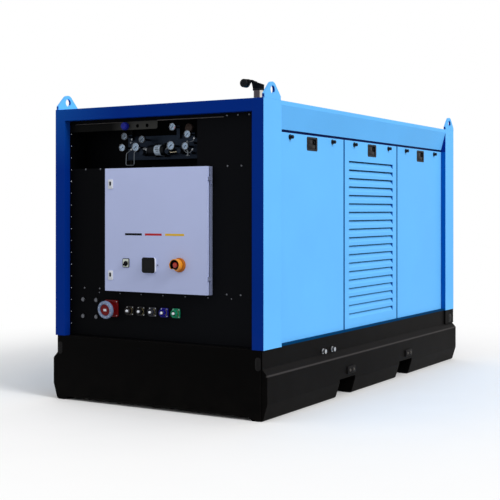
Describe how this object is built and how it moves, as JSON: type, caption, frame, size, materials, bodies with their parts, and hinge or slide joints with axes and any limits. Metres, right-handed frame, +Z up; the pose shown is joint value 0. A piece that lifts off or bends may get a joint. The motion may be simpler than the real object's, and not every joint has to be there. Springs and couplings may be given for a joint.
{
  "type": "hydrogen generator",
  "caption": "Engine generator in a blue weatherproof canopy on a black forklift skid, with a control cabinet and gas panel at the front and louvred sides.",
  "frame": {"origin": "on the floor, at the middle of the skid", "axes": "+Z up; -Y is the front with the control cabinet; +Y runs along the unit to the rear; +X is to the right seen from the front"},
  "size_m": [2.106, 4.059, 2.7862],
  "materials": {
    "skid_black": "satin black powder coat",
    "canopy_paint": "smooth blue powder coat, light on the long sides and dark on the end frames",
    "panel_black": "satin black powder coat",
    "cabinet_grey": "fine textured light grey powder coat",
    "grey_paint": "satin grey paint",
    "steel": "brushed stainless steel",
    "polished_steel": "polished stainless tube, slightly heat stained",
    "black_plastic": "moulded black plastic",
    "grey_plastic": "moulded grey plastic",
    "cap_blue": "moulded blue plastic",
    "gauge_white": "white dials under clear windows",
    "safety_yellow": "yellow plastic with a red mushroom head",
    "socket_red": "red plastic with a grey ring"
  },
  "bodies": {
    "housing": {"skid_right": "skid_black", "skid_left": "skid_black", "end_plate_front": "skid_black", "end_plate_rear": "skid_black", "deck_plate": "skid_black", "fork_tunnels": "skid_black", "fork_pads": "skid_black", "skid_covers": "grey_plastic", "filler_fittings": "steel", "post_front_left": "canopy_paint", "post_front_right": "canopy_paint", "post_rear_left": "canopy_paint", "post_rear_right": "canopy_paint", "beam_front": "canopy_paint", "beam_rear": "canopy_paint", "cornice_right": "canopy_paint", "cornice_left": "canopy_paint", "lifting_lugs": "canopy_paint", "roof_panel": "canopy_paint", "sills": "canopy_paint", "mullions": "canopy_paint", "panel_right_front": "canopy_paint", "panel_right_louvred": "canopy_paint", "panel_right_rear": "canopy_paint", "panel_left_front": "canopy_paint", "panel_left_louvred": "canopy_paint", "panel_left_rear": "canopy_paint", "rear_panel_louvred": "canopy_paint", "rear_panels_plain": "canopy_paint", "paddle_latches": "black_plastic", "wing_knobs": "black_plastic", "connector_panel": "panel_black", "front_panels_side": "panel_black", "front_panel_upper": "panel_black", "gas_niche": "panel_black", "gas_inlet_bracket": "grey_paint", "gas_inlet_coupling": "cap_blue", "gas_back_plate": "steel", "gas_gauges": "gauge_white", "gas_regulators": "steel", "gas_filter": "black_plastic", "gas_tubing": "steel", "cabinet_body": "cabinet_grey", "mounting_plate": "steel", "power_socket": "socket_red", "power_connectors": "black_plastic", "blanking_plugs": "grey_plastic", "exhaust_pipe": "polished_steel", "rain_cap_collar": "panel_black"},
    "door": {"cabinet_door": "cabinet_grey", "door_locks": "steel", "selector_switch": "steel", "control_unit": "black_plastic", "stop_button": "safety_yellow"},
    "rain_flap": {"rain_cap_flap": "panel_black"}
  },
  "joints": [
    {"name": "door_hinge", "type": "hinge", "parent": "housing", "child": "door", "pos_m": [0.518, -1.963, 1.415], "axis": [0, 0, 1], "range_deg": [0, 110]},
    {"name": "rain_flap_hinge", "type": "hinge", "parent": "housing", "child": "rain_flap", "pos_m": [-0.06385, -0.363, 2.76489], "axis": [0, -1, 0], "range_deg": [0, 50]}
  ]
}
